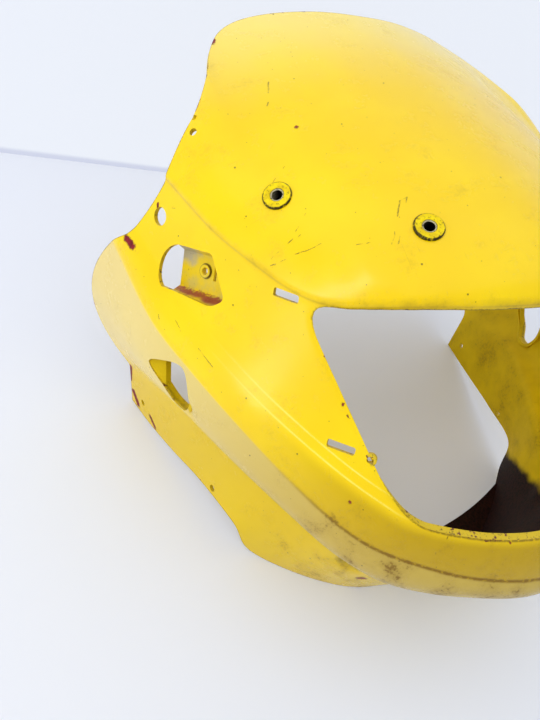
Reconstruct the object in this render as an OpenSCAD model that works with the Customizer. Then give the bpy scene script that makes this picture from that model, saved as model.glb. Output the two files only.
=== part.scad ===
// Headlight cowl of a sports motorbike: one injection-moulded shell that wraps the headlight,
// with a dome above it, a belt round the nose, two flanks and a chin it stands on,
// and four rubber well nuts in the dome that take the windscreen's screws.
// The nose points to -Y, the bike's left is at +X, and the cowl stands on its chin and flanks.

/* [Overall size] */
// Width over the flanks where they are widest
cowl_w = 429; // [400:1:460]
// Length from the nose to the rear edge of the dome
cowl_l = 398; // [370:1:430]
// Height from the table to the crown of the dome
cowl_h = 287; // [270:1:320]
// Wall thickness of the moulding
wall = 3; // [2.4:0.1:3.6]

/* [Creases] */
// How far the panels lie inside the foot of the dome
foot_step = 2.4; // [1:0.1:3]
// How far the panels lie inside the top of the belt
belt_step = 3; // [1:0.1:4]
// Width of the rounded step on top of the belt
belt_round = 6; // [4:0.5:9]
// How far the belt bulges between its two creases
belt_bulge = 1.6; // [0:0.1:3]
// How far the panels are hollowed between dome and belt
panel_hollow = 3; // [0:0.5:6]
// Height that the dome gains in the roll just above its foot
dome_roll = 26; // [18:1:32]
// How far back from its foot the dome rolls over
dome_roll_l = 20; // [12:1:28]
// Share of the dome's length that its rear fall covers
dome_crown = 0.42; // [0.34:0.01:0.5]
// Rise of the dome's crown above the line to its rear edge
dome_rise = 14; // [8:1:18]

/* [Headlight opening] */
// Width of the opening just under its top edge
lamp_w = 264; // [254:1:270]
// Width of the opening just over the lip
lamp_foot_w = 192; // [180:1:200]
// Corner radius at the top of the opening
lamp_r = 15; // [10:1:20]
// Height of the thin flange left round the opening's top edge
lamp_flange = 1.5; // [1:0.1:3]

/* [Screw and stay holes] */
// Diameter of the round hole near the flank's rear top corner
stay_d = 12; // [8:0.5:14]
// Diameter of the screw holes along the flank's lower edge
edge_hole_d = 5.5; // [4:0.1:7]
// Diameter of the screw hole in each rear corner of the dome
dome_hole_d = 5; // [4:0.1:6]
// Diameter of the pin hole beside the headlight opening
pin_d = 4; // [3:0.1:5]
// Length of each strap slot
slot_l = 17; // [12:0.5:20]
// Width of each strap slot
slot_w = 5; // [4:0.1:6]

/* [Well nuts] */
// Diameter of the rubber flange
nut_flange_d = 17.5; // [15:0.5:20]
// Thickness of the rubber flange
nut_flange_t = 2; // [1.5:0.1:2.5]
// Diameter of the rubber barrel
nut_barrel_d = 12.5; // [10:0.5:13]
// Length of the rubber barrel behind the flange
nut_barrel_l = 15; // [12:0.5:18]
// Gap between the barrel and its hole in the dome
nut_gap = 0.2; // [0.1:0.05:0.4]
// Outer diameter of the brass insert
insert_d = 7; // [6.5:0.1:8]
// Length of the brass insert
insert_l = 9; // [6:0.5:10]
// Tapping diameter of the insert's thread
thread_d = 4.2; // [3.3:0.1:5]

/* [Side window] */
// Length of the D-shaped window, from its slanted front to its round rear
window_l = 58; // [52:1:61]
// Radius of the window's round rear end
window_r = 16.4; // [14:0.1:17]
// Depth of the boxed pocket behind the window
pocket_depth = 14; // [10:1:18]
// Diameter of the boss on the pocket's back wall
boss_d = 9; // [8:0.5:12]
// Diameter of the hole through that boss
boss_hole_d = 5; // [4:0.1:6]

/* [Flank scoop] */
// How far the scoop's duct reaches inward
scoop_depth = 7; // [5:0.5:10]
// Depth at which the scoop's ramp ends
ramp_depth = 9; // [6:0.5:11]

/* [Chin] */
// How far the chin's floor reaches back at the middle
chin_floor = 22; // [16:1:30]
// Radius of the dimple at each chin corner
dimple_r = 9; // [6:0.5:11]

/* [Hidden] */
paint = "gold";
rubber = "olive";
brass = "darkgoldenrod";
eps = 0.01;
facets = 48;

// Lines plan of the shell, at its drawn size: each line runs round the nose through nine stations,
// from the middle of the nose (0) to the rear edge (8), and is mirrored to the other side.
// A station is [half width, distance behind the nose's zero line, height].
// Rear edge of the dome
dome_edge = [[0, 398, 287], [35, 401, 285], [70, 404, 279], [98, 402, 272], [118, 389, 267],
             [132, 366, 263], [142, 340, 259], [151, 322, 252], [158, 312, 244]];
// Foot of the dome, which is also the top edge of the headlight opening
dome_foot = [[0, 119, 253], [45, 126, 248], [83, 139, 240], [106, 151, 231], [121, 164, 221],
             [134, 184, 214], [148, 212, 212], [163, 245, 212], [178, 293, 215]];
// Top of the belt, which is also the lip of the headlight opening
belt_top = [[0, 30, 145], [44, 39, 144], [85, 60, 142], [105, 80, 144], [125, 109, 146],
            [149, 153, 149], [168, 199, 152], [183, 243, 155], [197, 301, 165]];
// Foot of the belt, the sharpest crease of the nose
belt_foot = [[0, 12, 120], [50, 26, 118], [93, 52, 118], [116, 75, 118], [136, 108, 121],
             [158, 155, 126], [177, 203, 130], [193, 247, 137], [204, 312, 151]];
// Middle of the flank, where it starts to turn under
flank_mid = [[0, 8, 98], [50, 21, 99], [92, 43, 98], [117, 68, 97], [137, 103, 97],
             [160, 152, 97], [180, 203, 95], [198, 255, 91], [214, 328, 82]];
// Crease between the flank and the lower panel
flank_foot = [[0, 32, 66], [60, 45, 70], [97, 66, 74], [113, 97, 77], [129, 128, 78],
              [150, 165, 78], [168, 203, 76], [180, 240, 62], [192, 284, 42]];
// Lower edge, flat on the table under the chin and arched under the flanks
lower_edge = [[0, 60, 0], [55, 63, 0], [95, 82, 0], [136, 116, 3], [149, 135, 24],
              [161, 178, 19], [172, 213, 11], [182, 248, 4], [189, 277, 0]];
last = len(belt_foot) - 1;

function unit(v) = v / norm(v);
function flip(p) = [-p[0], p[1], p[2]];

// A line's station i, carried on past the middle and past the rear edge
function station(line, i) =
    i < 0 ? flip(line[1]) : i > last ? 2 * line[last] - line[last - 1] : line[i];

// Smooth curve through the stations of a line, u from -8 to 8 round the nose
function blend(a, b, c, d, t) =
    (2 * b + (c - a) * t + (2 * a - 5 * b + 4 * c - d) * t * t + (3 * b - 3 * c + d - a) * t * t * t) / 2;
function on_line(line, u) =
    let(i = min(floor(abs(u)), last - 1),
        p = blend(station(line, i - 1), station(line, i), station(line, i + 1), station(line, i + 2),
                  abs(u) - i))
    u < 0 ? flip(p) : p;

// Level direction that points out of the shell at u
function outward(u) =
    let(t = on_line(belt_foot, u + eps) - on_line(belt_foot, u - eps)) unit([t[1], -t[0], 0]);

function curve3(a, b, c, t) = a * (1 - t) * (1 - t) + 2 * b * t * (1 - t) + c * t * t;
function curve4(a, b, c, d, t) =
    a * pow(1 - t, 3) + 3 * b * t * pow(1 - t, 2) + 3 * c * t * t * (1 - t) + d * pow(t, 3);

// Strips of the shell on the plan, u round the nose and t from one line to the next
function plan_dome(u, t) =
    let(foot = on_line(dome_foot, u), edge = on_line(dome_edge, u), span = edge - foot,
        k = sqrt(norm(span) / norm(dome_edge[0] - dome_foot[0])),
        level = unit([span[0], span[1], 0]))
    curve4(foot, foot + level * dome_roll_l * k + [0, 0, dome_roll * k],
           edge - span * dome_crown + [0, 0, dome_rise * k], edge, t);
function plan_panel(u, t) =
    let(foot = on_line(dome_foot, u) - outward(u) * foot_step,
        low = on_line(belt_top, u) - outward(u) * belt_step,
        rise = unit(foot - low))
    curve3(low + rise * belt_round, (low + foot) / 2 - outward(u) * panel_hollow, foot - rise * foot_step, t);
function plan_belt(u, t) =
    let(a = on_line(belt_top, u), b = on_line(belt_foot, u))
    a + (b - a) * t + outward(u) * belt_bulge * 4 * t * (1 - t);
function plan_flank(u, t) =
    let(a = on_line(belt_foot, u), b = on_line(flank_foot, u))
    curve3(a, 2 * on_line(flank_mid, u) - (a + b) / 2, b, t);
function plan_lower(u, t) = on_line(flank_foot, u) * (1 - t) + on_line(lower_edge, u) * t;

// Stations round the nose where the shell has a section, closer together on the bend
bend_steps = 4;
flank_steps = 3;
bend_end = 4;
half_u = concat([for (i = [1:bend_end * bend_steps]) i / bend_steps],
                [for (i = [1:(last - bend_end) * flank_steps]) bend_end + i / flank_steps]);
all_u = concat([for (i = [len(half_u) - 1:-1:0]) -half_u[i]], [0], half_u);

// One section from the dome's rear edge down to the lower edge
dome_t = [1, 0.9, 0.78, 0.65, 0.52, 0.4, 0.29, 0.2, 0.12, 0.05, 0];
panel_t = [1, 0.75, 0.5, 0.25, 0];
belt_t = [0, 0.5, 1];
flank_t = [0.14, 0.34, 0.55, 0.76, 1];
lower_t = [0.1, 0.55, 1];
function section(u) = concat(
    [for (t = dome_t) plan_dome(u, t)],
    [for (t = panel_t) plan_panel(u, t)],
    [for (t = belt_t) plan_belt(u, t)],
    [for (t = flank_t) plan_flank(u, t)],
    [for (t = lower_t) plan_lower(u, t)]);
rows = len(section(0));
cols = len(all_u);

// The plan's own width, length and height, and the scale from the plan to the cowl
plan = [for (u = all_u) section(u)];
plan_w = 2 * max([for (c = plan) for (p = c) p[0]]);
plan_front = min([for (c = plan) for (p = c) p[1]]);
plan_rear = max([for (c = plan) for (p = c) p[1]]);
plan_h = max([for (c = plan) for (p = c) p[2]]);
function on_plan(p) = [p[0] * cowl_w / plan_w,
    (p[1] - plan_front) * cowl_l / (plan_rear - plan_front) - cowl_l / 2,
    max(0, p[2]) * cowl_h / plan_h];

// Outer skin, its normals from the neighbouring points, and the inner skin one wall inside it
outer = [for (c = plan) [for (p = c) on_plan(p)]];
function skin_normal(i, j) =
    let(a = outer[min(i + 1, cols - 1)][j] - outer[max(i - 1, 0)][j],
        b = outer[i][min(j + 1, rows - 1)] - outer[i][max(j - 1, 0)])
    unit(cross(b, a));
inner = [for (i = [0:cols - 1]) [for (j = [0:rows - 1])
    let(p = outer[i][j] - skin_normal(i, j) * wall) [p[0], p[1], max(0, p[2])]]];

// The closed shell as one polyhedron: both skins and the rim that joins them
function cell(i, j) = i * rows + j;
skin = cols * rows;
shell_points = concat([for (c = outer) each c], [for (c = inner) each c]);
shell_faces = concat(
    [for (i = [0:cols - 2]) for (j = [0:rows - 2]) each
        [[cell(i, j), cell(i + 1, j + 1), cell(i, j + 1)], [cell(i, j), cell(i + 1, j), cell(i + 1, j + 1)]]],
    [for (i = [0:cols - 2]) for (j = [0:rows - 2]) each
        [[skin + cell(i, j), skin + cell(i, j + 1), skin + cell(i + 1, j + 1)],
         [skin + cell(i, j), skin + cell(i + 1, j + 1), skin + cell(i + 1, j)]]],
    [for (i = [0:cols - 2]) for (j = [0, rows - 1]) each rim(cell(i, j), cell(i + 1, j), j > 0)],
    [for (j = [0:rows - 2]) for (i = [0, cols - 1]) each rim(cell(i, j), cell(i, j + 1), i == 0)]);
function rim(a, b, turn) = turn ? [[a, b, skin + b], [a, skin + b, skin + a]]
                                : [[a, skin + b, b], [a, skin + a, skin + b]];

// The strips by name, for features that lie on them
on_dome = function (u, t) plan_dome(u, t);
on_panel = function (u, t) plan_panel(u, t);
on_flank = function (u, t) plan_flank(u, t);
on_lower = function (u, t) plan_lower(u, t);

// Local frame on a strip at the +X side: X runs to the rear, Y up, Z out of the shell
function spot(strip, u, t) = on_plan(strip(u, t));
function spot_out(strip, u, t) =
    let(a = spot(strip, u + eps, t) - spot(strip, u - eps, t),
        b = spot(strip, u, t + eps) - spot(strip, u, t - eps),
        n = unit(cross(a, b)), away = [spot(strip, u, t)[0], 0, 0] - [0, cowl_l / 4, 0])
    n * away < 0 ? -n : n;
module on_shell(strip, u, t) {
    p = spot(strip, u, t);
    z = spot_out(strip, u, t);
    a = spot(strip, u + eps, t) - spot(strip, u - eps, t);
    x = unit(a - z * (a * z));
    y = cross(z, x);
    multmatrix([[x[0], y[0], z[0], p[0]], [x[1], y[1], z[1], p[1]], [x[2], y[2], z[2], p[2]]])
        children();
}
module mirrored() {
    children();
    mirror([1, 0, 0]) children();
}

// Places of the features on the +X side, as [station round the nose, share of the strip]
nut_places = [[1.7, 0.28], [4.8, 0.42]];
dome_hole_place = [7.58, 0.74];
stay_place = [7.8, 0.5];
slot_places = [[5.22, 0.93], [3.83, 0.085]];
slot_tilts = [-13, -19];
pin_place = [3.22, 0.13];
edge_hole_places = [[7.42, 0.7], [4.71, 0.9]];
window_place = [6.9, 0.38];
dimple_place = [2.1, 0.1];

// Cutters reach this far to each side of the skin
through = 3 * wall;
// Depth of the flat seat under a well nut's flange
seat = 0.4;

module shell_skin() polyhedron(shell_points, shell_faces, convexity = 10);

// Chin floor: a flat plate from the lower edge inward, which the cowl stands on
floor_u = 2.7;
module chin_plate() {
    line = [for (u = [-floor_u:floor_u / 9:floor_u + eps]) on_plan(on_line(lower_edge, u))];
    front = [for (p = line) [p[0] * (1 - wall / cowl_w), p[1] + wall / 2]];
    end = front[len(front) - 1];
    middle = on_plan(on_line(lower_edge, 0))[1] + chin_floor;
    rear = [for (k = [0.98:-0.14:-0.99]) [end[0] * k, middle + (end[1] - middle) * k * k]];
    linear_extrude(wall) polygon(concat(front, rear));
}

// Headlight opening, cut straight back through the front: its top follows the dome's foot,
// its bottom the top of the belt
lamp_top_u = 4.88;
lamp_foot_u = 2.5;
module lamp_cut() {
    top = [for (u = [-lamp_top_u:lamp_top_u / 12:lamp_top_u + eps]) on_plan(on_line(dome_foot, u))];
    foot = [for (u = [lamp_foot_u:-lamp_foot_u / 8:-lamp_foot_u - eps]) on_plan(on_line(belt_top, u))];
    outline = concat([for (p = top) [p[0] / top[len(top) - 1][0] * lamp_w / 2, p[2] - lamp_flange - foot_step]],
                     [for (p = foot) [p[0] / foot[0][0] * lamp_foot_w / 2, p[2] - wall / 2]]);
    translate([0, spot(on_panel, lamp_top_u, 1)[1] + through, 0]) rotate([90, 0, 0])
        linear_extrude(cowl_l) offset(r = lamp_r) offset(delta = -lamp_r) polygon(outline);
}

// Side window: round to the rear, slanted to the front, its long axis falling to the rear
window_tilt = -29;
window_shift = 3.35;
window_corner_r = 3;
// Shares of the radius at which the slanted front leaves the top, ends low down and meets the bottom
front_lean = 0.82;
front_low = 0.6;
front_foot = 0.6;
arc_step = 10;
arc_end = -50;
module on_window() on_shell(on_panel, window_place[0], window_place[1])
    rotate(window_tilt) translate([window_shift, 0, 0]) children();
module window_outline() {
    x = window_l / 2;
    r = window_r;
    offset(r = window_corner_r) offset(delta = -window_corner_r) polygon(concat(
        [[-x, -front_low * r], [front_lean * r - x, r]],
        [for (a = [90:-arc_step:arc_end]) [x - r + r * cos(a), r * sin(a)]],
        [[front_foot * r - x, -r]]));
}
module window_cut() on_window() linear_extrude(2 * through, center = true) window_outline();

// Pocket behind the window: a box that narrows inward and is open to the rear,
// with a drilled boss and a slot in its back wall
pocket_margin = 2;
pocket_taper = 4.4;
pocket_slot = [2.4, 10];
pocket_boss_h = 1.5;
pocket_front = -window_l / 2;
pocket_rear = window_l / 2 - window_r * 0.45;
boss_place = [0, 2];
function rect(x0, x1, y, z) = [[x0, -y, z], [x1, -y, z], [x1, y, z], [x0, y, z]];
module taper_box(low, high) polyhedron(concat(low, high),
    [[0, 1, 2, 3], [4, 5, 1, 0], [7, 6, 5, 4], [5, 6, 2, 1], [6, 7, 3, 2], [7, 4, 0, 3]]);
module pocket() on_window() {
    mouth = window_r + pocket_margin;
    back = window_r - pocket_taper;
    difference() {
        union() {
            difference() {
                taper_box(rect(pocket_front - wall, pocket_rear, back + wall, -pocket_depth - wall),
                          rect(pocket_front - pocket_margin - wall, pocket_rear, mouth + wall, -wall / 2));
                taper_box(rect(pocket_front, pocket_rear + wall, back, -pocket_depth),
                          rect(pocket_front - pocket_margin, pocket_rear + wall, mouth, 0));
            }
            translate([boss_place[0], boss_place[1], -pocket_depth - wall])
                cylinder(d = boss_d, h = wall + pocket_boss_h, $fn = facets);
        }
        translate([boss_place[0] - boss_d / 2 - 1.5 * pocket_slot[0], boss_place[1], -pocket_depth])
            cube([pocket_slot[0], pocket_slot[1], 4 * wall], center = true);
    }
}
module boss_hole() on_window() translate([boss_place[0], boss_place[1], -pocket_depth - 2 * wall])
    cylinder(d = boss_hole_d, h = 4 * wall, $fn = facets);

// Ear round the pin hole, just under the skin and standing a little into the headlight opening
pin_wall = 1.8;
pin_sink = 0.2;
module pin_ear() on_shell(on_panel, pin_place[0], pin_place[1]) translate([0, 0, -wall - pin_sink])
    cylinder(d = pin_d + 2 * pin_wall, h = wall, $fn = facets);

// Scoop in the flank: a rounded window, a duct wall round its inner side and a ramp from its rear corner.
// The outline is a closed smooth curve through points on the flank, as [station, share]
scoop = [[6.68, 0.35], [6.39, 0.13], [6.12, 0.05], [5.93, 0.16], [5.84, 0.37], [5.9, 0.58], [6.11, 0.63],
         [6.32, 0.5]];
scoop_middle = [6.18, 0.33];
// Ramp's corners at the scoop's rear, front top and front bottom, as [station, share, share of its depth]
ramp = [[6.71, 0.36, 0.06], [6.57, 0.235, 1], [6.31, 0.53, 0.1]];
ramp_t = 4.5;
// How far the duct's inner face lies behind the edge of the cut
duct_gap = 0.3;
scoop_steps = 3;
function scoop_uv(k) =
    let(n = len(scoop), i = floor(k))
    blend(scoop[(i + n - 1) % n], scoop[i % n], scoop[(i + 1) % n], scoop[(i + 2) % n], k - i);
scoop_ring = [for (k = [0:1 / scoop_steps:len(scoop) - eps]) scoop_uv(k)];
scoop_out = spot_out(on_flank, scoop_middle[0], scoop_middle[1]);
// Ring of the outline, moved outward along the scoop's axis by rise and away from it by grow;
// flat puts it in one plane instead of on the flank
function scoop_loop(rise, grow, flat = false) =
    let(c = spot(on_flank, scoop_middle[0], scoop_middle[1]))
    [for (q = scoop_ring)
        let(d = spot(on_flank, q[0], q[1]) - c, level = d - scoop_out * (d * scoop_out))
        c + (flat ? level : d) + scoop_out * rise + unit(level) * grow];
// Closed tube or bar between rings of equal length, taken in turn round its section
function band(n, loops) = [for (l = [0:loops - 1]) for (k = [0:n - 1]) each
    let(a = l * n + k, b = l * n + (k + 1) % n, m = (l + 1) % loops, c = m * n + (k + 1) % n, d = m * n + k)
    [[a, c, b], [a, d, c]]];
module scoop_cut() {
    n = len(scoop_ring);
    polyhedron(concat(scoop_loop(through, 0, true), scoop_loop(-through, 0, true)),
        concat([[for (k = [n - 1:-1:0]) k]], [[for (k = [0:n - 1]) n + k]],
            [for (k = [0:n - 1]) each
                [[k, n + (k + 1) % n, n + k], [k, (k + 1) % n, n + (k + 1) % n]]]));
}
module scoop_duct() {
    n = len(scoop_ring);
    polyhedron(concat(scoop_loop(-wall * 0.6, duct_gap), scoop_loop(-scoop_depth, duct_gap),
            scoop_loop(-scoop_depth, wall), scoop_loop(-wall * 0.6, wall)), band(n, 4));
    top = [for (q = ramp) spot(on_flank, q[0], q[1]) - scoop_out * ramp_depth * q[2]];
    polyhedron(concat(top, [for (p = top) p - scoop_out * ramp_t]),
        [[2, 1, 0], [3, 4, 5], [1, 4, 3, 0], [2, 5, 4, 1], [0, 3, 5, 2]]);
}

module hole_at(strip, place, d) on_shell(strip, place[0], place[1])
    cylinder(d = d, h = 2 * through, center = true, $fn = facets);
module slot_at(place, tilt) on_shell(on_panel, place[0], place[1])
    rotate(tilt) cube([slot_l, slot_w, 2 * through], center = true);
module nut_hole(place) on_shell(on_dome, place[0], place[1]) {
    cylinder(d = nut_barrel_d + 2 * nut_gap, h = 2 * through, center = true, $fn = facets);
    translate([0, 0, -seat]) cylinder(d = nut_flange_d + 2 * nut_gap, h = through, $fn = facets);
}
module dimple() translate(spot(on_lower, dimple_place[0], dimple_place[1])
    + spot_out(on_lower, dimple_place[0], dimple_place[1]) * (dimple_r - wall * 0.6))
    sphere(r = dimple_r, $fn = facets);

// Body of the moulding before its round holes, brought to the cowl's overall size
module shell_body() union() {
    difference() {
        shell_skin();
        lamp_cut();
        mirrored() {
            window_cut();
            scoop_cut();
            dimple();
        }
    }
    chin_plate();
    mirrored() {
        pocket();
        scoop_duct();
        pin_ear();
    }
}
module cowl_shell() color(paint) difference() {
    shell_body();
    mirrored() {
        for (p = nut_places) nut_hole(p);
        for (p = edge_hole_places) hole_at(on_lower, p, edge_hole_d);
        for (i = [0, 1]) slot_at(slot_places[i], slot_tilts[i]);
        hole_at(on_dome, dome_hole_place, dome_hole_d);
        hole_at(on_panel, stay_place, stay_d);
        hole_at(on_panel, pin_place, pin_d);
        boss_hole();
    }
}

// Well nut: a flanged rubber barrel with a dished bore, turned in one profile
nut_bore_d = 6.4;
nut_lip_d = 10;
nut_dish = 0.8;
module well_nut() {
    r = nut_flange_d / 2;
    top = nut_flange_t - seat;
    bottom = -seat - nut_barrel_l;
    rotate_extrude($fn = facets) polygon([
        [nut_bore_d / 2, top - nut_dish], [nut_lip_d / 2, top], [r - nut_dish, top], [r, top - nut_dish],
        [r, -seat], [nut_barrel_d / 2, -seat], [nut_barrel_d / 2, bottom], [insert_d / 2, bottom],
        [insert_d / 2, bottom + insert_l], [nut_bore_d / 2, bottom + insert_l]]);
}
module well_nuts() color(rubber) mirrored() for (p = nut_places) on_shell(on_dome, p[0], p[1]) well_nut();

// Threaded brass insert bonded into the lower end of each well nut
module nut_insert() translate([0, 0, -seat - nut_barrel_l]) difference() {
    cylinder(d = insert_d, h = insert_l, $fn = facets);
    translate([0, 0, -1]) cylinder(d = thread_d, h = insert_l + 2, $fn = facets);
}
module nut_inserts() color(brass) mirrored() for (p = nut_places) on_shell(on_dome, p[0], p[1]) nut_insert();

cowl_shell();
well_nuts();
nut_inserts();
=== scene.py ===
import math
import bmesh
import bpy
import numpy as np
from mathutils import Matrix, Vector


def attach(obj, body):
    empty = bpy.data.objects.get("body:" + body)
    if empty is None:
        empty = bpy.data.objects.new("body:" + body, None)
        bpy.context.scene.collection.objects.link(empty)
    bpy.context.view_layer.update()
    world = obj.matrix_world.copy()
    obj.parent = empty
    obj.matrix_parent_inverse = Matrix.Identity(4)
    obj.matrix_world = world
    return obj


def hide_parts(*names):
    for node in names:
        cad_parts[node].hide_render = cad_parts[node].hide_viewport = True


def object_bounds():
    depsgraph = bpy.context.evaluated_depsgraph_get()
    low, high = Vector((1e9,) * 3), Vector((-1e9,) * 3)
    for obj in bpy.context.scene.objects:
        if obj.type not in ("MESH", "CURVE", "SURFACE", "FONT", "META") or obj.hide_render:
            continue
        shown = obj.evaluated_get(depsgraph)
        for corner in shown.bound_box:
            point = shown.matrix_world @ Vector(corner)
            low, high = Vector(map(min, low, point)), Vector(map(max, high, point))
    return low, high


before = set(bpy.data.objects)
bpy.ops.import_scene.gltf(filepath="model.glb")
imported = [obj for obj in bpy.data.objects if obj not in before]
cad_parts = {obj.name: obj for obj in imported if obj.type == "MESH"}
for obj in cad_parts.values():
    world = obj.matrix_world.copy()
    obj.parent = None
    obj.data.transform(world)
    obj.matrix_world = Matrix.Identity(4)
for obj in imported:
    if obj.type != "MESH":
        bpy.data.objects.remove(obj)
cad_low, cad_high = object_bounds()

# ---- The painted shell ----
# The cowl is one shell of dark red plastic, injection moulded 3 mm thick and sprayed yellow. Its skin runs
# round the nose and is made of five strips between creases: dome, side panel, belt, flank and lower panel.
# Each crease is a line of nine stations, from the middle of the nose to the rear edge.
mm = 0.001
wall = 3.0
dome_edge = np.array([[0, 398, 287], [35, 401, 285], [70, 404, 279], [98, 402, 272], [118, 389, 267],
                      [132, 366, 263], [142, 340, 259], [151, 322, 252], [158, 312, 244]], float)
dome_foot = np.array([[0, 119, 253], [45, 126, 248], [83, 139, 240], [106, 151, 231], [121, 164, 221],
                      [134, 184, 214], [148, 212, 212], [163, 245, 212], [178, 293, 215]], float)
belt_top = np.array([[0, 30, 145], [44, 39, 144], [85, 60, 142], [105, 80, 144], [125, 109, 146],
                     [149, 153, 149], [168, 199, 152], [183, 243, 155], [197, 301, 165]], float)
belt_foot = np.array([[0, 12, 120], [50, 26, 118], [93, 52, 118], [116, 75, 118], [136, 108, 121],
                      [158, 155, 126], [177, 203, 130], [193, 247, 137], [204, 312, 151]], float)
flank_mid = np.array([[0, 8, 98], [50, 21, 99], [92, 43, 98], [117, 68, 97], [137, 103, 97],
                      [160, 152, 97], [180, 203, 95], [198, 255, 91], [214, 328, 82]], float)
flank_foot = np.array([[0, 32, 66], [60, 45, 70], [97, 66, 74], [113, 97, 77], [129, 128, 78],
                       [150, 165, 78], [168, 203, 76], [180, 240, 62], [192, 284, 42]], float)
lower_edge = np.array([[0, 60, 0], [55, 63, 0], [95, 82, 0], [136, 116, 3], [149, 135, 24],
                       [161, 178, 19], [172, 213, 11], [182, 248, 4], [189, 277, 0]], float)
nose_zero = 205.17                       # the stations' zero lies this far in front of the cowl's middle
foot_step, belt_step = 2.4, 3.0          # how far the side panel lies inside the dome's foot and the belt
belt_round, belt_bulge, panel_hollow = 6.0, 1.6, 3.0
dome_roll, dome_roll_l = 26.0, 20.0      # the dome leaves its foot upward by the first, level by the second
dome_crown, dome_rise = 0.42, 14.0       # and reaches its edge from this share of the span, this much higher
nudge = 0.01                             # step along a strip at which its directions are measured


def unit(v):
    return v / np.linalg.norm(v, axis=-1, keepdims=True)


def spline(a, b, c, d, t):
    """Catmull-Rom curve from b to c at t, with a before and d after them."""
    return (2 * b + (c - a) * t + (2 * a - 5 * b + 4 * c - d) * t ** 2 + (3 * b - 3 * c + d - a) * t ** 3) / 2


def line_at(stations, u):
    """Curve through the stations at u, mirrored for negative u and straight on past the rear."""
    u = np.atleast_1d(np.asarray(u, float))
    ends = np.vstack([stations[1] * [-1, 1, 1], stations, 2 * stations[-1] - stations[-2]])
    i = np.clip(np.floor(np.abs(u)).astype(int), 0, len(stations) - 2)
    p = spline(ends[i], ends[i + 1], ends[i + 2], ends[i + 3], (np.abs(u) - i)[:, None])
    p[:, 0] *= np.where(u < 0, -1, 1)
    return p


def outward(u):
    """Level unit vector out of the shell: the tangent of the belt's foot, turned by a right angle."""
    u = np.atleast_1d(np.asarray(u, float))
    t = line_at(belt_foot, u + nudge) - line_at(belt_foot, u - nudge)
    return unit(np.stack([t[:, 1], -t[:, 0], 0 * u], -1))


def bezier(points, t):
    """Bezier curve of 3 or 4 control points at t, all of them arrays over u."""
    weights = {3: ((1 - t) ** 2, 2 * t * (1 - t), t * t),
               4: ((1 - t) ** 3, 3 * t * (1 - t) ** 2, 3 * t * t * (1 - t), t ** 3)}[len(points)]
    return sum(w * p for w, p in zip(weights, points))


def strip(name, u, t):
    """Point of a strip at station u and share t of its section: dome and side panel are curves over t from
    foot to top, and belt, flank and lower panel run downward."""
    u = np.atleast_1d(np.asarray(u, float))
    t = np.broadcast_to(np.asarray(t, float), u.shape)[:, None]
    out = outward(u)
    if name == "dome":
        foot, edge = line_at(dome_foot, u), line_at(dome_edge, u)
        span = edge - foot
        whole = np.linalg.norm(dome_edge[0] - dome_foot[0])
        k = np.sqrt(np.linalg.norm(span, axis=-1, keepdims=True) / whole)
        level = unit(span * [1, 1, 0])
        up = np.array([0, 0, 1.0])
        p = bezier([foot, foot + level * dome_roll_l * k + up * dome_roll * k,
                    edge - span * dome_crown + up * dome_rise * k, edge], t)
    elif name == "panel":
        foot = line_at(dome_foot, u) - out * foot_step
        low = line_at(belt_top, u) - out * belt_step
        rise = unit(foot - low)
        p = bezier([low + rise * belt_round, (low + foot) / 2 - out * panel_hollow,
                    foot - rise * foot_step], t)
    elif name == "belt":
        a, b = line_at(belt_top, u), line_at(belt_foot, u)
        p = a + (b - a) * t + out * belt_bulge * 4 * t * (1 - t)
    elif name == "flank":
        a, b = line_at(belt_foot, u), line_at(flank_foot, u)
        p = bezier([a, 2 * line_at(flank_mid, u) - (a + b) / 2, b], t)
    else:
        p = line_at(flank_foot, u) * (1 - t) + line_at(lower_edge, u) * t
    return p - [0, nose_zero, 0]


def length_along(points):
    """Distance run along each row of points, from 0 at its first one."""
    steps = np.linalg.norm(np.diff(points, axis=1), axis=-1)
    return np.concatenate([np.zeros((len(points), 1)), np.cumsum(steps, 1)], 1)


def rows_at(name, u, first, last, between, start, end):
    """Rows of a strip at set distances from its two creases, with evenly spread rows between them:
    the strip is measured along each section, and t is read back from that length."""
    fine = np.linspace(start, end, 121)
    run = length_along(np.stack([strip(name, u, t) for t in fine], 1))
    total = run[:, -1:]
    share = np.linspace(0, 1, between + 2)[1:-1][None]
    low, high = np.array(first)[-1], total - np.array(last)[-1]
    wanted = np.concatenate([np.tile(first, (len(u), 1)), low + (high - low) * share,
                             total - np.array(last)[::-1][None]], 1)
    t = np.stack([np.interp(wanted[i], run[i], fine) for i in range(len(u))])
    return np.stack([strip(name, u, t[:, j]) for j in range(t.shape[1])], 1)


def bridge(a, b, count):
    """Rows between two rows, evenly spaced."""
    return np.stack([a + (b - a) * k / (count + 1) for k in range(1, count + 1)], 1)


# Sections round the nose by station, closer together at the window and the scoop, and rows down them by
# their distance in mm from a crease or from an edge.
half_round = np.concatenate([np.arange(0.085, 4.0, 0.085), np.arange(4.0, 5.6, 0.08),
                             np.arange(5.6, 7.2, 0.05), np.linspace(7.2, 7.9, 9), [7.96, 8.0]])
round_nose = np.concatenate([-half_round[::-1], [0.0], half_round])
near = [0, 0.8, 1.6, 2.4, 3.2, 4.0, 5.0, 6.5]
edge_rows = [0, 0.7, 1.6, 3.0]
dome_rows = rows_at("dome", round_nose, edge_rows, near + [8.5, 11, 14], 34, 1, 0)
panel_rows = rows_at("panel", round_nose, near + [8.5, 11], near, 22, 1, 0)
belt_rows = rows_at("belt", round_nose, near, near, 4, 0, 1)
flank_rows = rows_at("flank", round_nose, near[1:], near, 20, 0, 1)
lower_rows = rows_at("lower", round_nose, near[1:], edge_rows, 12, 0, 1)
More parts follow.
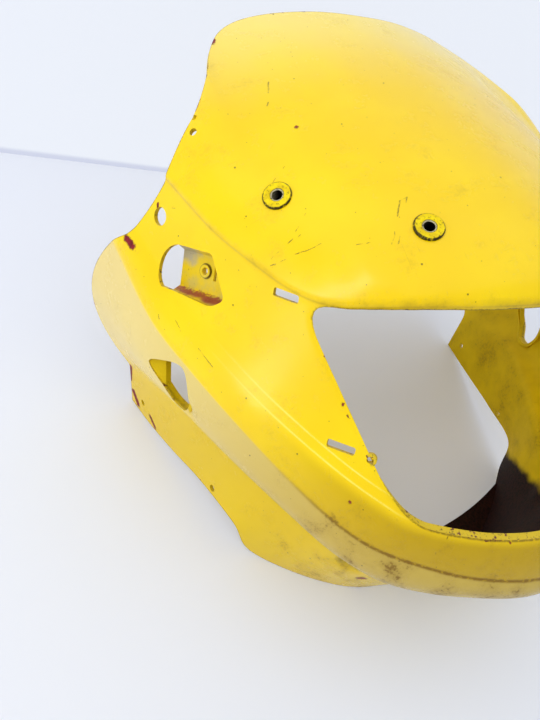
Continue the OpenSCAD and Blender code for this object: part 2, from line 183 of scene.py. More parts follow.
parts = [dome_rows, bridge(dome_rows[:, -1], panel_rows[:, 0], 3), panel_rows,
         bridge(panel_rows[:, -1], belt_rows[:, 0], 7), belt_rows, flank_rows, lower_rows]
starts = np.cumsum([0] + [p.shape[1] for p in parts])
skin = np.concatenate(parts, 1)
skin[:, :, 2] = np.maximum(skin[:, :, 2], 0)
row_count = skin.shape[1]
creases = [starts[1] + 1, starts[3], starts[4], starts[5], starts[6]]
crease_reach = (7, 5, 5, 4, 6)           # rows on each side of a crease that its rounding moves
skin_passes, inner_passes = (16, 5, 5, 3, 14), (30, 26, 26, 26, 20)


def rounded(grid, passes):
    """Rounds the creases: each row near a crease moves to the mean of itself and its neighbours, again and
    again, and the move fades out away from the crease."""
    grid = grid.copy()
    for crease, reach, times in zip(creases, crease_reach, passes):
        hold = np.clip(1.6 - np.abs(np.arange(row_count) - crease) / reach, 0, 1)[None, :, None]
        for _ in range(times):
            mean = grid.copy()
            mean[:, 1:-1] = (grid[:, :-2] + 2 * grid[:, 1:-1] + grid[:, 2:]) / 4
            grid += (mean - grid) * hold
    return grid


def grid_normals(grid):
    """Unit normals of a grid, from the cross product of its central differences, pointing out."""
    return unit(np.cross(np.gradient(grid, axis=1), np.gradient(grid, axis=0)))


def local_frame(name, u, t):
    """Point of a strip on the bike's left and its axes: to the rear, up the skin, and out of it."""
    p = strip(name, u, t)[0]
    a = (strip(name, u + nudge, t) - strip(name, u - nudge, t))[0]
    b = (strip(name, u, t + nudge) - strip(name, u, t - nudge))[0]
    n = unit(np.cross(a, b))
    away = np.array([p[0], cad_low[1] / mm / 2, 0])
    n = -n if n @ away < 0 else n
    x = unit(a - n * (a @ n))
    return p, x, np.cross(n, x), n


def place(points, at):
    """Points in a local frame, carried to the cowl's own axes."""
    p, x, y, z = at
    return p + points[:, :1] * x + points[:, 1:2] * y + points[:, 2:3] * z


def fillet(before, corner, after, reach):
    """Rounds a corner of an outline: a quadratic curve between the points reach away from it on each side."""
    p = corner + (before - corner) * min(1, reach / np.linalg.norm(before - corner))
    q = corner + (after - corner) * min(1, reach / np.linalg.norm(after - corner))
    t = np.linspace(0, 1, 9)[:, None]
    return p * (1 - t) ** 2 + 2 * corner * t * (1 - t) + q * t * t


# Headlight opening, an outline seen from the front: its top follows the dome's foot and its foot the belt.
lamp_w, lamp_foot_w, lamp_r = 264.0, 192.0, 15.0
lamp_top_u, lamp_foot_u = 4.88, 2.5
lamp_corner_reach = lamp_r * 1.2
corner_top = np.array([lamp_w / 2, 210.6])
corner_low = np.array([lamp_foot_w / 2, 141.2])
lamp_top = line_at(dome_foot, np.linspace(-lamp_top_u, lamp_top_u, 25))[:, [0, 2]]
lamp_foot = line_at(belt_top, np.linspace(lamp_foot_u, -lamp_foot_u, 17))[:, [0, 2]]
lamp_top = np.stack([lamp_top[:, 0] / lamp_top[-1, 0] * lamp_w / 2, lamp_top[:, 1] - wall / 2 - foot_step], -1)
lamp_foot = np.stack([lamp_foot[:, 0] / lamp_foot[0, 0] * lamp_foot_w / 2, lamp_foot[:, 1] - wall / 2], -1)
lamp_top = lamp_top[1:-1][np.abs(lamp_top[1:-1, 0]) < lamp_w / 2 - lamp_r]
lamp_foot = lamp_foot[np.abs(lamp_foot[:, 0]) < lamp_foot_w / 2 - lamp_r]
lamp_side = np.concatenate([fillet(lamp_top[-1], corner_top, corner_low, lamp_corner_reach),
                            fillet(corner_top, corner_low, lamp_foot[0], lamp_corner_reach)])
lamp_outline = np.concatenate([lamp_top, lamp_side, lamp_foot, lamp_side[::-1] * [-1, 1]])

# Side window, an outline in the frame of its place: round at the rear and cut off at a slant in front.
window_l, window_r = 58.0, 16.4
window_tilt, window_back = math.radians(-29), 3.35
at, along, up, out = local_frame("panel", 6.9, 0.38)
along, up = (along * math.cos(window_tilt) + up * math.sin(window_tilt),
             up * math.cos(window_tilt) - along * math.sin(window_tilt))
window_at = (at + along * window_back, along, up, out)
half_l, sweep = window_l / 2, np.radians(np.arange(90, -51, -10))
front_low, front_top = np.array([[-half_l, -0.6 * window_r], [0.82 * window_r - half_l, window_r]])
front_foot = np.array([0.6 * window_r - half_l, -window_r])
arc = np.stack([half_l - window_r + window_r * np.cos(sweep), window_r * np.sin(sweep)], -1)
window_outline = np.concatenate([fillet(front_foot, front_low, front_top, 4),
                                 fillet(front_low, front_top, arc[0], 3), arc,
                                 fillet(arc[-1], front_foot, front_low, 5)])[::-1]


def closed_curve(points, steps):
    """Curve through a closed ring of points, with steps points to each span."""
    t = (np.arange(steps) / steps)[None, :, None]
    return spline(*(np.roll(points, s, 0)[:, None] for s in (1, 0, -1, -2)), t).reshape(-1, points.shape[1])


# Scoop in the flank: a closed curve through points of the flank, given as station and share.
scoop = np.array([[6.68, 0.35], [6.39, 0.13], [6.12, 0.05], [5.93, 0.16], [5.84, 0.37], [5.9, 0.58],
                  [6.11, 0.63], [6.32, 0.5]])
scoop_at = local_frame("flank", 6.18, 0.33)
scoop_line = np.concatenate([strip("flank", u, t) for u, t in closed_curve(scoop, 6)])
scoop_local = np.stack([(scoop_line - scoop_at[0]) @ scoop_at[k] for k in (1, 2, 3)], -1)


def outline_distance(points, outline):
    """Distance of points in a plane from an outline, taken to its nearest segment."""
    best = np.full(points.shape[:-1], 1e9)
    for p, q in zip(outline, np.roll(outline, -1, 0)):
        d = q - p
        t = np.clip(((points - p) @ d) / max(d @ d, 1e-9), 0, 1)
        best = np.minimum(best, np.linalg.norm(points - p - t[..., None] * d, axis=-1))
    return best


# The edge of the headlight opening is rolled in, a drop-shaped dimple lies in front of the scoop and a
# round one at each corner of the chin. Depths are along the skin's normal.
roll_depth, roll_w, lamp_rear = 1.3, 3.5, -18.0
dimple_depth, dimple_l, dimple_w = 3.0, 9.0, 4.0
pit_depth, pit_half, pit_at = 5.0, np.array([9, 9, 6]), np.array([98.0, -136.0, 64.0])
skin = rounded(skin, skin_passes)
in_front = skin[:, :, 1] < lamp_rear
lamp_gap = np.where(in_front, outline_distance(skin[:, :, [0, 2]], lamp_outline), 99)
left_skin = np.concatenate([np.abs(skin[:, :, :1]), skin[:, :, 1:]], -1)
from_dimple = left_skin - place(np.array([[-20.0, -7, 0]]), scoop_at)[0]
dimple_long = from_dimple @ unit(scoop_at[1] * 0.35 + scoop_at[2])
dimple_wide = np.sqrt(np.maximum((from_dimple ** 2).sum(-1) - dimple_long ** 2, 0))
dimple = np.exp(-(dimple_long / dimple_l) ** 2 - (dimple_wide / dimple_w) ** 2)
chin_pit = np.exp(-((left_skin - pit_at) ** 2 @ (1 / pit_half ** 2)))
rolled = np.clip(1 - lamp_gap / roll_w, 0, 1) ** 2
pressed = roll_depth * rolled + dimple_depth * dimple + pit_depth * chin_pit
skin = skin - grid_normals(skin) * pressed[..., None]
inner = rounded(skin, inner_passes)
inner = inner - grid_normals(inner) * wall
inner[:, :, 2] = np.maximum(inner[:, :, 2], 0)

# The pieces share one list of finishes, and a face has the number of its finish.
finishes = [bpy.data.materials.new(name) for name in ("yellow paint", "inside of the moulding", "worn edge",
                                                      "pocket wall")]
painted, inner_side, cut_edge, pocket_side = range(4)


def shell_mesh(outer, inner, bulge):
    """Closed shell from two skins: both grids, and round their edge a strip of quads in four steps whose
    middle stands out by bulge, so that the rim is rounded."""
    nu, nv = outer.shape[:2]
    index = np.arange(nu * nv).reshape(nu, nv)
    faces = np.stack([index[:-1, :-1], index[:-1, 1:], index[1:, 1:], index[1:, :-1]], -1).reshape(-1, 4)
    ring = np.concatenate([index[:-1, 0], index[-1, :-1], index[:0:-1, -1], index[0, :0:-1]])
    inward = np.concatenate([index[:-1, 1], index[-2, :-1], index[:0:-1, -2], index[1, :0:-1]])
    o, i = outer.reshape(-1, 3), inner.reshape(-1, 3)
    out = unit(o[ring] - o[inward] + 1e-9)
    points, levels = [o, i], [ring]
    for count, step in enumerate((0.15, 0.5, 0.85)):
        points.append(o[ring] * (1 - step) + i[ring] * step + out * bulge * math.sin(math.pi * step))
        levels.append(2 * nu * nv + count * len(ring) + np.arange(len(ring)))
    levels.append(ring + nu * nv)
    rim = [np.stack([p, np.roll(p, -1), np.roll(q, -1), q], -1) for p, q in zip(levels, levels[1:])]
    source = np.concatenate([np.arange(nu * nv), np.arange(nu * nv), ring, ring, ring])
    points = np.concatenate(points)
    points[:, 2] = np.maximum(points[:, 2], 0)
    all_faces = np.concatenate([faces, faces[:, ::-1] + nu * nv] + rim)
    kind = np.repeat([painted, inner_side, cut_edge], [len(faces), len(faces), sum(len(r) for r in rim)])
    return points, all_faces, kind, source


def new_object(name, points, faces, materials=(), kind=None, smooth=True, maps=None):
    """Mesh object from points in mm and faces, with a material number for each face and, in maps, UV maps
    that are given as one pair for each point."""
    mesh = bpy.data.meshes.new(name)
    mesh.from_pydata((np.asarray(points) * mm).tolist(), [], [list(map(int, f)) for f in faces])
    for m in materials:
        mesh.materials.append(m)
    if kind is not None:
        mesh.polygons.foreach_set("material_index", np.asarray(kind, np.int32))
    mesh.polygons.foreach_set("use_smooth", np.full(len(mesh.polygons), smooth))
    corner = np.zeros(len(mesh.loops), np.int32)
    mesh.loops.foreach_get("vertex_index", corner)
    for title, pairs in (maps or {}).items():
        mesh.uv_layers.new(name=title).data.foreach_set("uv", pairs[corner].astype(np.float32).ravel())
    mesh.update()
    piece = bpy.data.objects.new(name, mesh)
    bpy.context.scene.collection.objects.link(piece)
    return piece


def joined(solids):
    """Several closed meshes as one list of points and one of faces."""
    points, faces, base = [], [], 0
    for p, f in solids:
        points.append(p)
        faces += [[base + i for i in face] for face in f]
        base += len(p)
    return np.concatenate(points), faces


def both_sides(solids):
    """The solids of the bike's left and their mirror images, whose faces are turned to point out again."""
    return solids + [(p * [-1, 1, 1], [list(reversed(f)) for f in faces]) for p, faces in solids]


def fix_normals(piece):
    """Turns the faces of a closed mesh outward."""
    bm = bmesh.new()
    bm.from_mesh(piece.data)
    bmesh.ops.recalc_face_normals(bm, faces=bm.faces)
    bm.to_mesh(piece.data)
    bm.free()


def carve(piece, knife, **settings):
    """Cuts the knife's solids out of a piece for good, and takes the knife away."""
    for solid in (piece, knife):
        fix_normals(solid)
    cut = piece.modifiers.new("openings", "BOOLEAN")
    cut.operation, cut.object = "DIFFERENCE", knife
    for name, value in settings.items():
        setattr(cut, name, value)
    finished = bpy.data.meshes.new_from_object(piece.evaluated_get(bpy.context.evaluated_depsgraph_get()))
    piece.modifiers.clear()
    piece.data = finished
    bpy.data.objects.remove(knife)


def prism(outline, low, high):
    """Closed prism over a plane outline: its points in turn at the low and at the high level."""
    n = len(outline)
    points = np.concatenate([np.c_[outline, np.full(n, low)], np.c_[outline, np.full(n, high)]])
    k = np.arange(n)
    sides = np.stack([k, (k + 1) % n, n + (k + 1) % n, n + k], -1).tolist()
    return points, sides + [list(range(n - 1, -1, -1)), list(range(n, 2 * n))]


def circle(d, n=40):
    a = np.arange(n) * 2 * np.pi / n
    return np.stack([np.cos(a), np.sin(a)], -1) * d / 2


def slot_outline(l, w, degrees, r=1.2):
    """Rectangle with rounded corners: four quarter circles joined up, and turned by the degrees."""
    a = np.linspace(0, np.pi / 2, 5)
    corners = [(l / 2 - r, w / 2 - r), (r - l / 2, w / 2 - r), (r - l / 2, r - w / 2), (l / 2 - r, r - w / 2)]
    quarters = [a + q * np.pi / 2 for q in range(4)]
    outline = np.concatenate([np.stack([x + r * np.cos(q), y + r * np.sin(q)], -1)
                              for q, (x, y) in zip(quarters, corners)])
    c, s = math.cos(math.radians(degrees)), math.sin(math.radians(degrees))
    return outline @ np.array([[c, s], [-s, c]])


def cutter(outline, at, reach=9.0):
    """Prism through the wall at a place, from reach inside the skin to reach outside it."""
    points, faces = prism(outline, -reach, reach)
    return place(points, at), faces


# Openings on one side: round holes by place and diameter, two slots for the strap, window and scoop.
nut_places = [("dome", 1.7, 0.28), ("dome", 4.8, 0.42)]
nut_hole_d, screw_d, corner_screw_d, stay_d, pin_d = 12.9, 5.5, 5.0, 12.0, 4.0
pin_place = ("panel", 3.22, 0.13)
holes = [(("lower", 7.42, 0.7), screw_d), (("lower", 4.71, 0.9), screw_d),
         (("dome", 7.58, 0.74), corner_screw_d), (("panel", 7.8, 0.5), stay_d), (pin_place, pin_d)]
holes += [(spot, nut_hole_d) for spot in nut_places]
strap_slot_l, strap_slot_w = 17, 5
strap_slots = [(("panel", 5.22, 0.93), -13), (("panel", 3.83, 0.085), -19)]
lamp_cut_rear, lamp_cut_front = -30.6, -320.0
left_cuts = [cutter(circle(d), local_frame(*spot)) for spot, d in holes]
left_cuts += [cutter(slot_outline(strap_slot_l, strap_slot_w, turn), local_frame(*spot))
              for spot, turn in strap_slots]
left_cuts += [cutter(window_outline, window_at), cutter(scoop_local[:, :2], scoop_at)]
lamp_points, lamp_faces = prism(lamp_outline, lamp_cut_rear, lamp_cut_front)
cut_points, cut_faces = joined(both_sides(left_cuts) + [(lamp_points[:, [0, 2, 1]], lamp_faces)])

# Maps for the paint, in units of 100 mm: distance down the section from the top and the foot of the belt,
# distance from the headlight opening and from the rim, station with distance from the dome's foot, and
# share of the flank's height.
rim_bulge = 0.7
points, faces, kind, source = shell_mesh(skin, inner, rim_bulge)
run = length_along(skin)
below_belt = run - run[:, [starts[5] - 1]]
rear_gap = np.linalg.norm(skin - skin[:1], axis=-1)
rim_gap = np.minimum(np.minimum(run, run[:, -1:] - run), np.minimum(rear_gap, rear_gap[::-1]))
maps = {"belt": (run - run[:, [starts[4]]], below_belt),
        "edges": (lamp_gap, rim_gap),
        "round": (np.repeat(round_nose[:, None], row_count, 1) * 100, run - run[:, [starts[1]]]),
        "flank": (below_belt / below_belt[:, [starts[6]]] * 100, run * 0)}
maps = {k: np.stack([a.ravel(), b.ravel()], -1)[source] / 100 for k, (a, b) in maps.items()}
cowl = new_object("cowl", points, faces, finishes, kind, maps=maps)
knife = new_object("cutters", cut_points, cut_faces, finishes, np.full(len(cut_faces), cut_edge))
carve(cowl, knife, solver="MANIFOLD", material_mode="TRANSFER")
sharp_angle = math.radians(38)
cowl.data.polygons.foreach_set("use_smooth", np.ones(len(cowl.data.polygons), bool))
cowl.data.set_sharp_from_angle(angle=sharp_angle)
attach(cowl, "root")
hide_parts("cowl_shell")


class Value:
    """A socket in a node tree. Arithmetic on it adds the Math nodes that work it out."""

    def __init__(self, finish, socket):
        self.finish, self.socket = finish, socket

    def math(self, operation, *others):
        return self.finish.node("ShaderNodeMath", dict(enumerate((self,) + others)), operation=operation)

    def __add__(self, other): return self.math("ADD", other)
    def __sub__(self, other): return self.math("SUBTRACT", other)
    def __mul__(self, other): return self.math("MULTIPLY", other)
    def __truediv__(self, other): return self.math("DIVIDE", other)
    def __neg__(self): return self * -1
    def __abs__(self): return self.math("ABSOLUTE")
    def __rsub__(self, other): return (self * -1) + other
    __radd__, __rmul__ = __add__, __mul__


class Finish:
    """A material's node tree: one method adds any node, and the others are short names for common ones."""

    def __init__(self, material):
        material.use_nodes = True
        self.tree = material.node_tree
        self.tree.nodes.clear()

    def node(self, kind, values=(), out=0, **settings):
        """Adds a node: its settings first, then the value or link of each socket in values."""
        n = self.tree.nodes.new(kind)
        for name, value in settings.items():
            setattr(n, name, value)
        for key, value in dict(values).items():
            if isinstance(value, Value):
                self.tree.links.new(value.socket, n.inputs[key])
            else:
                n.inputs[key].default_value = value
        return Value(self, n.outputs[out]) if n.outputs else None

    def vec(self, operation, *values, out=0):
        """Vector Math node; a number or a plain triple may stand for a socket."""
        return self.node("ShaderNodeVectorMath", dict(enumerate(values)), out=out, operation=operation)

    def position(self):
        """Object coordinates in mm, as one vector and as its three numbers."""
        at = self.vec("MULTIPLY", self.node("ShaderNodeTexCoord", out=3), (1000.0, 1000.0, 1000.0))
        return (at,) + tuple(self.node("ShaderNodeSeparateXYZ", {0: at}, out=i) for i in range(3))

    def folded(self, x, y, z):
        """The position on the bike's left that mirrors this one, so that what is made there shows twice."""
        return self.node("ShaderNodeCombineXYZ", {0: abs(x), 1: y, 2: z})

    def noise(self, at, scale, detail=4.0, rough=0.55):
        return self.node("ShaderNodeTexNoise", {"Vector": at, "Scale": scale, "Detail": detail,
                                                "Roughness": rough})

    def shaken(self, at, scale, detail, rough, reach):
        """The position moved by noise, by up to half of reach along each axis."""
        shift = self.node("ShaderNodeTexNoise", {"Vector": at, "Scale": scale, "Detail": detail,
                                                 "Roughness": rough}, out=1)
        shift = self.vec("SUBTRACT", shift, (0.5,) * 3)
        return self.vec("ADD", at, self.vec("MULTIPLY", shift, (reach,) * 3))

    def step(self, value, low, high):
        """0 below low, 1 above high, smooth between."""
        return self.node("ShaderNodeMapRange", {"Value": value, "From Min": low, "From Max": high},
                         interpolation_type="SMOOTHSTEP")

    def mix(self, share, a, b):
        """Mix of two colours."""
        return self.node("ShaderNodeMix", {0: share, 6: a, 7: b}, out=2, data_type="RGBA")

    def to_segment(self, at, a, b):
        """Distance from the segment a to b: the foot point is a + d * clamp((p - a).d / d.d)."""
        a, d = np.array(a, float), np.array(b, float) - a
        off = self.vec("SUBTRACT", at, tuple(a))
        share = self.vec("DOT_PRODUCT", off, tuple(d / max(d @ d, 1e-6)), out=1)
        share = self.node("ShaderNodeClamp", {0: share})
        foot = self.node("ShaderNodeVectorMath", {0: tuple(d), "Scale": share}, operation="SCALE")
        return self.vec("LENGTH", self.vec("SUBTRACT", off, foot), out=1)

    def near_marks(self, at, marks):
        """Highest of the marks' shares: each mark is two end points and a half width, and its share is the
        part of that half width left at the distance, 1 on the mark's middle and 0 at its border."""
        best = None
        for a, b, width in marks:
            share = 1 - self.to_segment(at, a, b) / width
            best = share if best is None else best.math("MAXIMUM", share)
        return best

    def cover(self, **inputs):
        """Ends the tree with a Principled surface, whose inputs are named with _ for each space."""
        values = {key.replace("_", " "): value for key, value in inputs.items()}
        self.node("ShaderNodeOutputMaterial", {"Surface": self.node("ShaderNodeBsdfPrincipled", values)})


def colour(r, g, b):
    """Linear colour from one written in sRGB, 0 to 255."""
    levels = (v / 255 for v in (r, g, b))
    return tuple(v / 12.92 if v < 0.0404 else ((v + 0.055) / 1.055) ** 2.4 for v in levels) + (1.0,)


# Marks on the bike's right, each from one point to another with half its width, in mm: hairline scratches,
# and chips down to the plastic.
scratches = [((-127, 1, 235), (-141, -3, 216), 0.45), ((-101, -25, 249), (-118, -17, 237), 0.4),
             ((-118, -17, 237), (-140, -3, 218), 0.4), ((-111, 53, 257), (-131, 38, 242), 0.3),
             ((-122, 10, 242), (-131, 2, 232), 0.35), ((-131, 2, 232), (-141, 0, 219), 0.45),
             ((-114, -12, 243), (-126, -9, 233), 0.35), ((-126, -9, 233), (-142, -2, 216), 0.4),
             ((-71, -155, 140), (-77, -159, 130), 0.5), ((-77, -159, 130), (-77, -161, 125), 0.5),
             ((-173, 1, 148), (-168, -14, 146), 0.5), ((-182, 26, 151), (-180, 17, 148), 0.45),
             ((-189, 36, 145), (-189, 34, 143), 0.6), ((-181, 86, 194), (-174, 73, 202), 0.3),
             ((-73, -7, 264), (-89, -32, 253), 0.6), ((-78, -8, 263), (-92, -31, 252), 0.6),
             ((-73, -7, 264), (-78, -8, 263), 0.5), ((-107, 116, 265), (-111, 106, 263), 0.8),
             ((-114, 98, 261), (-116, 95, 260), 0.7)]
chips = [((-198, 94, 163), (-195, 86, 162), 2.6), ((-193, 82, 160), (-192, 80, 159), 1.4),
         ((-191, 77, 42), (-191, 76, 26), 2.2), ((-189, 70, 14), (-187, 62, 7), 3.4),
         ((-181, 42, 14), (-179, 34, 9), 2.2), ((-83, -144, 50), (-85, -143, 44), 2.6),
         ((-126, 174, 265), (-128, 170, 264), 2.4), ((-180, 88, 195), (-181, 87, 193), 0.9),
         ((-186, 15, 119), (-185, 13, 118), 1.5), ((-117, -76, 177), (-116, -77, 176), 0.7),
         ((-115, -82, 173), (-114, -83, 172), 0.6), ((-117, -118, 136), (-117, -118, 136), 1.0),
         ((-60, -159, 142), (-59, -159, 141), 0.7), ((-50, -164, 141), (-48, -165, 140), 0.8),
         ((-36, -170, 142), (-35, -170, 141), 0.7), ((-52, -163, 138), (-52, -163, 138), 0.8),
         ((-107, 69, 261), (-107, 69, 261), 1.2), ((1, 198, 287), (9, 199, 287), 1.6)]

fresh_yellow, deep_yellow, dull_yellow = colour(254, 218, 0), colour(249, 209, 0), colour(238, 198, 2)
sheen_pale, reflected_cream, reflected_cream_front = colour(255, 246, 176), colour(232, 210, 136), colour(188, 162, 84)
belt_shade_yellow, lower_shade_yellow, highlight_yellow = colour(184, 148, 2), colour(224, 190, 26), colour(255, 244, 120)
pit_shade, grime_and_shade_brown, speck_brown = colour(110, 88, 6), colour(120, 84, 12), colour(64, 44, 10)
wiped_yellow, scratch_brown, edge_brown = colour(176, 140, 6), colour(88, 66, 8), colour(84, 52, 8)
red_plastic, dark_red_plastic = colour(138, 2, 26), colour(104, 2, 18)

paint = Finish(finishes[painted])
at, x, y, z = paint.position()
step, mix, noise = paint.step, paint.mix, paint.noise


def map_pair(name):
    """The two distances of a map, in mm."""
    uv = paint.node("ShaderNodeUVMap", uv_map=name)
    return tuple(paint.node("ShaderNodeSeparateXYZ", {0: uv}, out=i) * 100 for i in range(2))


below_top, below_belt = map_pair("belt")
lamp_edge, rim_edge = map_pair("edges")
station, below_dome = map_pair("round")
down_flank = map_pair("flank")[0] / 100
forward = -y
clouds, blotch = noise(at, 0.012, 3), noise(at, 0.055, 5, 0.62)
grain, fine = noise(at, 0.45, 6, 0.7), noise(at, 1.6, 4, 0.6)
ripple = noise(paint.vec("MULTIPLY", at, (1.0, 1.0, 2.2)), 0.22, 3, 0.5)

base = mix(step(clouds, 0.35, 0.65), fresh_yellow, deep_yellow)
base = mix(step(blotch, 0.52, 0.8) * 0.3, base, dull_yellow)
# Painted sheen: the top of the dome is painted paler toward the rear, where its glossy paint mirrors the
# bright backdrop.
painted_sheen = step(y + (clouds - 0.5) * 60, 90, 215) * step(z, 215, 262)
base = mix(painted_sheen * 0.42, base, sheen_pale)
# Painted reflection: the flanks are painted pale cream, darker toward the front, where the glossy paint
# mirrors the white table.
table_reflection = step(down_flank, -0.02, 0.02) * (1 - step(down_flank + (clouds - 0.5) * 0.5, 0.55, 1.05))
base = mix(table_reflection * 0.85, base, mix(step(forward, -60, 150), reflected_cream, reflected_cream_front))
# Painted shade: the nose's belt and the lower panels, which face down, are painted darker.
belt_shade = step(below_top, -2, 8) * (1 - step(below_belt, 0.2, 1.6)) * step(forward, 20, 170)
base = mix(belt_shade * 0.85, base, belt_shade_yellow)
base = mix(step(down_flank, 0.8, 1.1) * 0.85, base, lower_shade_yellow)
# Painted shade in the pressed pits at the corners of the chin, along the foot of the dome and low on the nose,
# which faces down; darker along the foot of the belt on the nose; and dirt in blotches, thicker low on the
# nose.
to_pit = paint.to_segment(paint.folded(x, y, z), (101, -133, 63), (94, -141, 64))
base = mix((1 - step(to_pit + (grain - 0.5) * 4, 2.5, 7.0)) * 0.85, base, pit_shade)
belt_crease = 1 - step(abs(below_belt), 0.0, 2.2)
dome_crease_shade = 1 - step(abs(below_dome), 0.0, 5.0)
dome_shade_line = 1 - step(abs(below_dome - 1.4), 0.2, 1.3)
low_nose = step(forward, 60, 165) * step(146 - z, 0, 34)
# Dirt in blotches, together with painted shade along the dome's foot and low on the nose.
grime_and_shade = (step(grain + blotch, 1.08, 1.3) * (0.12 + low_nose * 0.6)
         + belt_crease * step(forward, 60, 150) * step(grain, 0.34, 0.5) * 0.85
         + dome_crease_shade * step(blotch, 0.4, 0.65) * 0.22
         + dome_shade_line * 0.2
         + step(blotch, 0.42, 0.8) * low_nose * 0.45)
base = mix(grime_and_shade.math("MINIMUM", 0.85), base, grime_and_shade_brown)
# Painted highlights: thin pale lines along the ridges of the belt and of the panel's foot, where the glossy
# paint catches the light.
top_highlight_line = 1 - step(abs(below_top + 0.4), 0.15, 0.9)
panel_highlight_line = 1 - step(abs(below_top + 7.2), 0.15, 0.9)
highlight_reach = step(abs(station), 205, 300) * (1 - step(abs(station), 430, 640))
ridge_highlight = top_highlight_line.math("MAXIMUM", panel_highlight_line) * highlight_reach * step(fine + blotch, 0.7, 1.1)
base = mix(ridge_highlight * 0.6, base, highlight_yellow)
# Dark specks of two kinds: cells per mm, the least draw that has a speck, its size and its strength.
for scale, least, size, strength in ((0.11, 0.35, 0.075, 0.8), (0.23, 0.62, 0.09, 0.6)):
    to_cell, cell = (paint.node("ShaderNodeTexVoronoi", {"Vector": at, "Scale": scale}, out=i)
                     for i in (0, 1))
    draw = paint.node("ShaderNodeSeparateColor", {0: cell})
    to_edge = to_cell - step(draw, least, 1.0) * size
    specks = (1 - step(to_edge, -0.012, 0.012)) * step(draw, least, least + 0.05)
    base = mix(specks * strength, base, speck_brown)
# Faint hairlines from wiping, along and across, and hairline scratches, both broken up by noise.
streaks, cross_streaks = (noise(paint.vec("MULTIPLY", at, stretch), 1.0, 3, 0.6)
                          for stretch in ((0.9, 0.035, 0.05), (0.05, 0.8, 0.06)))
wiped = step(streaks.math("MAXIMUM", cross_streaks), 0.66, 0.74) * step(blotch, 0.45, 0.6)
base = mix(wiped * 0.3, base, wiped_yellow)
hair = paint.near_marks(paint.shaken(at, 0.12, 2.0, 0.5, 2.4), scratches)
hair = step(hair, 0.05, 0.6) * step(fine, 0.36, 0.52)
base = mix(hair * 0.85, base, scratch_brown)
# Chips, at their places and here and there along the edges, show the dark red plastic inside a thin dark rim.
edge_chip = 1 - (rim_edge.math("MINIMUM", lamp_edge + 0.7) + (grain - 0.5) * 6) / 1.1
edge_chip = edge_chip - (1 - step(blotch, 0.56, 0.62)) * 9
chipped = paint.near_marks(paint.shaken(at, 0.5, 4.0, 0.7, 4.5), chips).math("MAXIMUM", edge_chip)
bare = step(chipped, 0.05, 0.2)
base = mix((step(chipped, -0.25, 0.05) - bare) * 0.5, base, edge_brown)
base = mix(bare, base, mix(step(grain, 0.4, 0.6), red_plastic, dark_red_plastic))
# Dark worn line at every edge, wider at the top of the headlight opening.
worn_line = (1 - step(rim_edge.math("MINIMUM", lamp_edge), 0.15, 0.9)) * step(grain, 0.3, 0.55)
top_edge = (1 - step(lamp_edge + (grain - 0.5) * 2, 0.5, 1.5)) * step(z, 196, 206)
base = mix(worn_line.math("MAXIMUM", top_edge) * 0.75, base, edge_brown)
height = ripple * 0.5 + fine * 0.05 - bare * 0.5 - hair * 0.3 - specks * 0.2
rough = 0.24 + step(blotch, 0.35, 0.75) * 0.05 + bare * 0.25 + grime_and_shade * 0.25
paint.cover(Base_Color=base, Roughness=rough.math("MINIMUM", 0.7),
            Normal=paint.node("ShaderNodeBump", {"Strength": 0.16, "Distance": 0.0004, "Height": height}),
            Coat_Roughness=0.1, Coat_Weight=(1 - bare) * 0.03, Specular_IOR_Level=0.3)

# Inside, thin and dull overspray, with the nose and the chin left in dirty black.
inside = Finish(finishes[inner_side])
at, x, y, z = inside.position()
step, mix = inside.step, inside.mix
cloud, grain = inside.noise(at, 0.03, 4), inside.noise(at, 0.4, 5, 0.7)
base = mix(step(cloud, 0.3, 0.7), colour(226, 192, 2), colour(204, 170, 2))
base = mix(step(grain + cloud, 1.05, 1.3) * 0.4, base, colour(110, 84, 14))
dark = step(-z + y * -0.9 + (cloud - 0.5) * 24, 44, 56) * step(-z + (cloud - 0.5) * 20, -100, -84)
base = mix(dark, base, mix(step(grain, 0.4, 0.65), colour(44, 20, 17), colour(14, 9, 8)))
inside.cover(Base_Color=base, Roughness=0.55, Specular_IOR_Level=0.1,
             Normal=inside.node("ShaderNodeBump", {"Strength": 0.4, "Distance": 0.0005, "Height": grain}))

# Cut edges of the wall: overspray rubbed through to brown, with spots of red plastic.
worn = Finish(finishes[cut_edge])
at, x, y, z = worn.position()
base = worn.mix(worn.step(worn.noise(at, 0.5, 5, 0.7), 0.56, 0.64), colour(218, 186, 4), colour(84, 50, 14))
base = worn.mix(worn.step(worn.noise(at, 0.16, 3), 0.62, 0.66), base, colour(96, 18, 26))
worn.cover(Base_Color=base, Roughness=0.5)

# ---- Inner walls ----
# The chin's floor, the walls of a pocket behind each window, and a duct with a ramp behind each scoop.
# All are ribs of the same plastic, moulded in one shot with the shell on its inner side.
floor_u, floor_span, floor_depth = 2.7, 436.0, 22.0    # the chin line is drawn in by a wall over this span
chin = line_at(lower_edge, np.linspace(-floor_u, floor_u, 31)) - [0, nose_zero, 0]
chin[:, 0] *= 1 - wall / floor_span
chin[:, 1] += wall / 2
share = np.linspace(1, -1, 25)[1:-1, None]
chin_end, chin_middle = chin[-1], chin[15, 1] + floor_depth
rear = np.c_[chin_end[0] * share, chin_middle + (chin_end[1] - chin_middle) * share ** 2]
chin_floor = prism(np.concatenate([chin[:, :2], rear]), 0.0, wall)

# A pocket's walls start just under the skin and lean in toward its back.
pocket_depth, pocket_mouth, pocket_back, skin_depth = 14.0, window_r + 2, window_r - 4.4, 1.5
pocket_front, pocket_rear = -window_l / 2, window_l / 2 - window_r * 0.45


